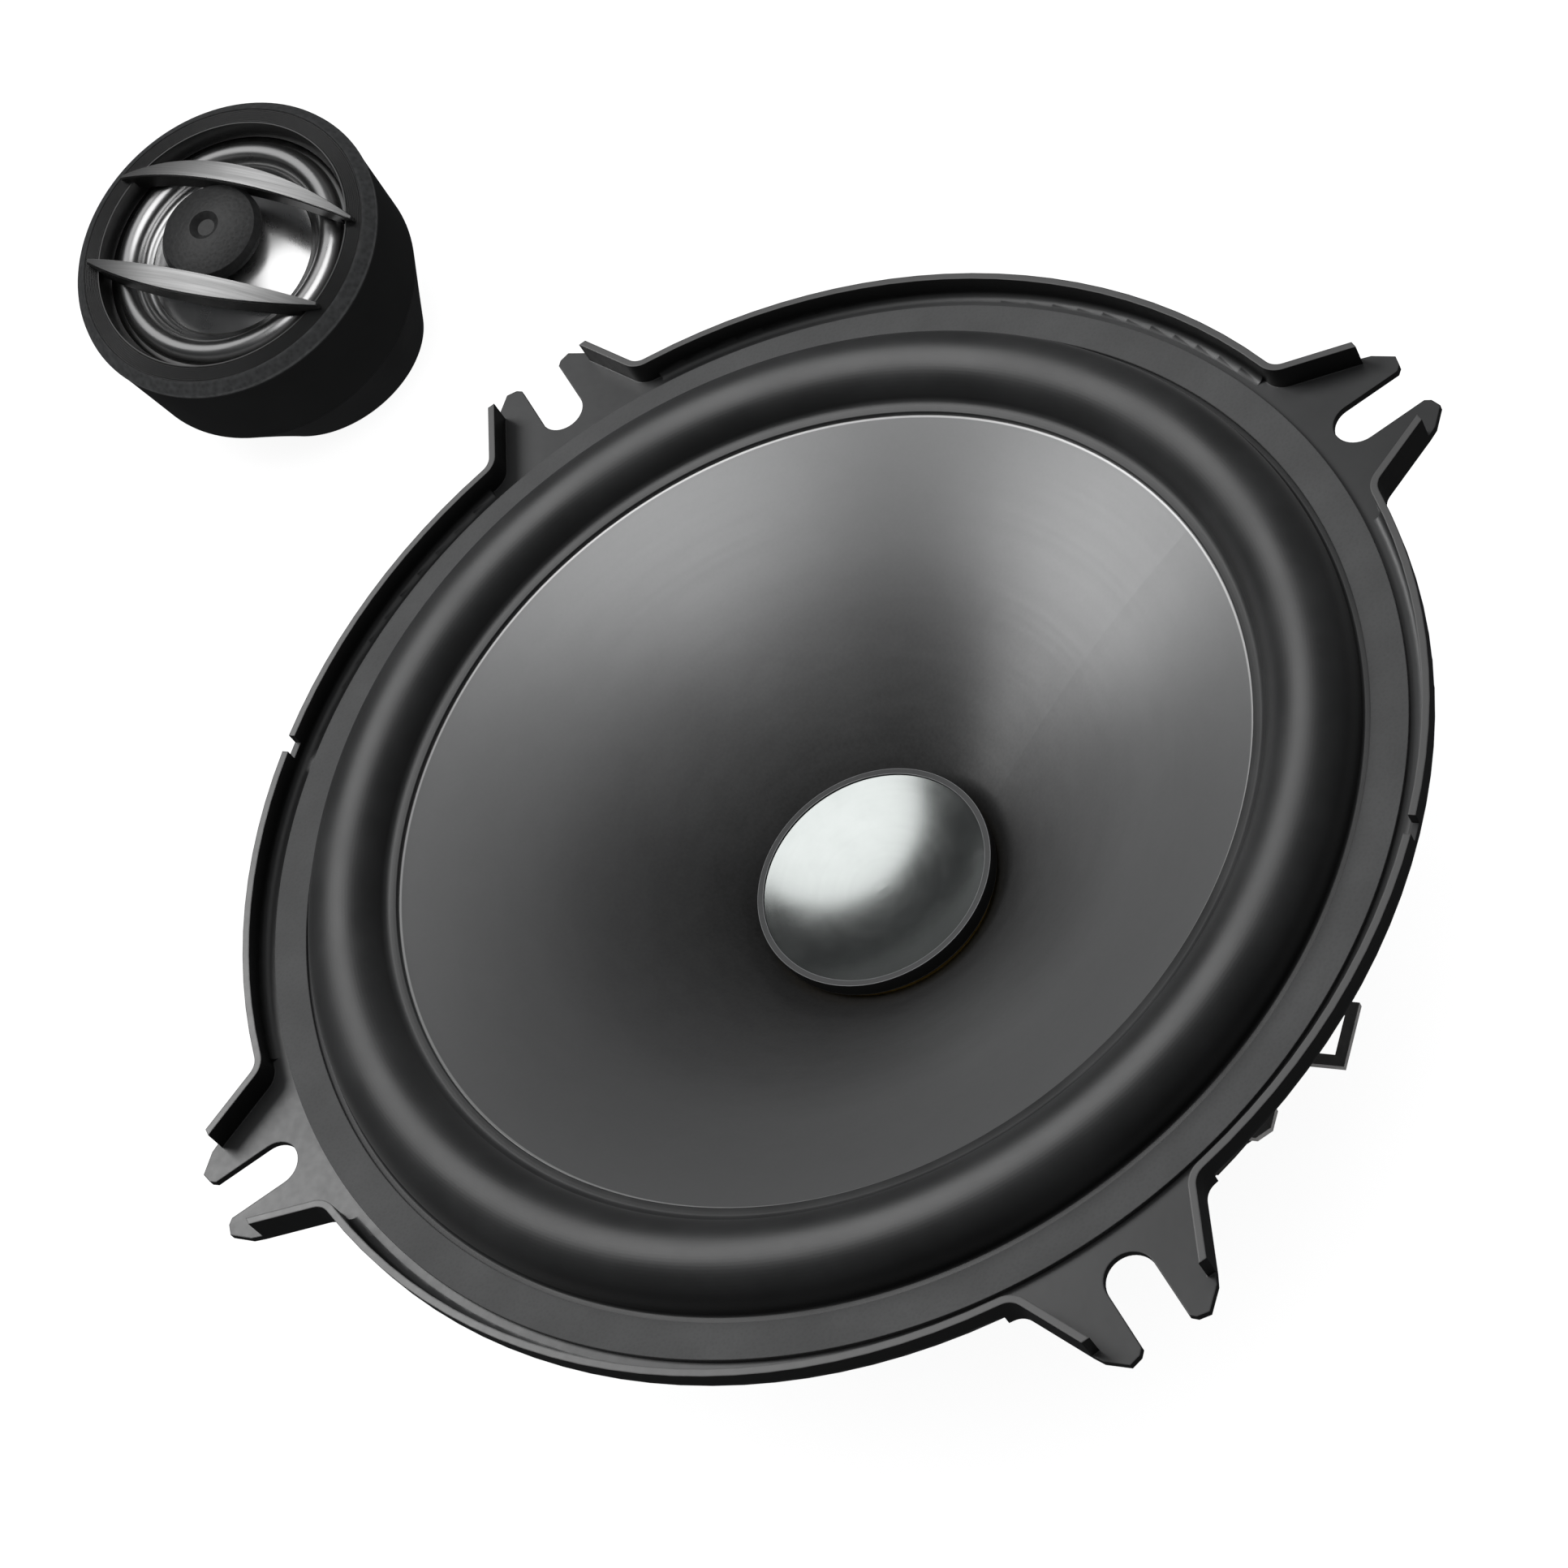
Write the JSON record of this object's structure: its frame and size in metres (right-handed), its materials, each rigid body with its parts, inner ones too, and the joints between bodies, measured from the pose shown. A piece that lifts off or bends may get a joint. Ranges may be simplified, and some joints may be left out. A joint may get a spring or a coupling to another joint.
{
  "type": "two-way car speaker component set",
  "caption": "Mid-woofer in a pressed steel basket with open-slotted ears, and a separate barred tweeter in an angled surface-mount cup, standing side by side.",
  "frame": {"origin": "centre of the flat rear face of the woofer's magnet, which lies on the same surface as the tweeter's foot", "axes": "+Z out of the front of the woofer, +X through one ear, +Y through the ear nearest the tweeter"},
  "size_m": [0.1546, 0.2555, 0.0535],
  "materials": {
    "basket_steel": "satin dark grey paint",
    "zinc_steel": "zinc plated",
    "gasket_foam": "flat, fine grain",
    "surround_rubber": "soft sheen",
    "cone_poly": "satin",
    "mirror_cap": "polished",
    "ring_plastic": "satin black",
    "former_film": "amber film",
    "copper_wire": "enamelled wire",
    "spider_cloth": "impregnated weave",
    "motor_steel": "black passivated",
    "ferrite": "matt ceramic",
    "phenolic": "pressed laminate",
    "tinned_tab": "tin plated",
    "tinsel": "braided",
    "pod_plastic": "fine grain",
    "grommet_rubber": "matt",
    "ring_gloss": "turned grooves",
    "trim_aluminium": "brushed lengthwise",
    "dome_metal": "bright foil",
    "neodymium": "nickel plated"
  },
  "bodies": {
    "woofer_frame": {"basket": "basket_steel", "basket_rivets": "zinc_steel", "front_gasket": "gasket_foam", "surround": "surround_rubber", "top_plate": "motor_steel", "magnet_ring": "ferrite", "back_plate": "motor_steel", "pole_piece": "motor_steel", "terminal_board": "phenolic", "terminal_plus": "tinned_tab", "terminal_minus": "tinned_tab", "terminal_rivets": "zinc_steel", "tinsel_lead_plus": "tinsel", "tinsel_lead_minus": "tinsel"},
    "woofer_cone": {"cone": "cone_poly", "dust_cap": "mirror_cap", "dust_cap_ring": "ring_plastic", "voice_coil_former": "former_film", "voice_coil_winding": "copper_wire", "spider": "spider_cloth"},
    "tweeter_base": {"base_plate": "pod_plastic", "lead_grommet": "grommet_rubber"},
    "tweeter_head": {"mounting_cup": "pod_plastic", "tweeter_housing": "pod_plastic", "tweeter_front_ring": "ring_gloss", "tweeter_guard": "pod_plastic", "guard_trim_upper": "trim_aluminium", "guard_trim_lower": "trim_aluminium", "tweeter_surround": "dome_metal", "tweeter_magnet": "neodymium", "tweeter_pole_cap": "motor_steel", "tweeter_yoke": "motor_steel", "tweeter_chassis": "pod_plastic", "tweeter_terminals": "tinned_tab"},
    "tweeter_diaphragm": {"tweeter_dome": "dome_metal", "tweeter_coil_former": "former_film", "tweeter_coil_winding": "copper_wire"}
  },
  "joints": [
    {"name": "cone_travel", "type": "slide", "parent": "woofer_frame", "child": "woofer_cone", "axis": [0, 0, 1], "range_m": [-0.004, 0.004], "stiffness_N_per_m": 1500, "deforming": ["surround", "spider", "tinsel_lead_plus", "tinsel_lead_minus"]},
    {"name": "tweeter_lift", "type": "slide", "parent": "woofer_frame", "child": "tweeter_base", "axis": [0, 0, 1], "range_m": [0, 0.1]},
    {"name": "tweeter_aim", "type": "hinge", "parent": "tweeter_base", "child": "tweeter_head", "pos_m": [-0.0244, 0.1554, 0], "axis": [0, 0, 1], "range_deg": [-45, 45]},
    {"name": "dome_travel", "type": "slide", "parent": "tweeter_head", "child": "tweeter_diaphragm", "axis": [-0.0355, -0.21, 0.977], "range_m": [-0.00025, 0.00025], "stiffness_N_per_m": 100, "deforming": ["tweeter_surround"]}
  ]
}
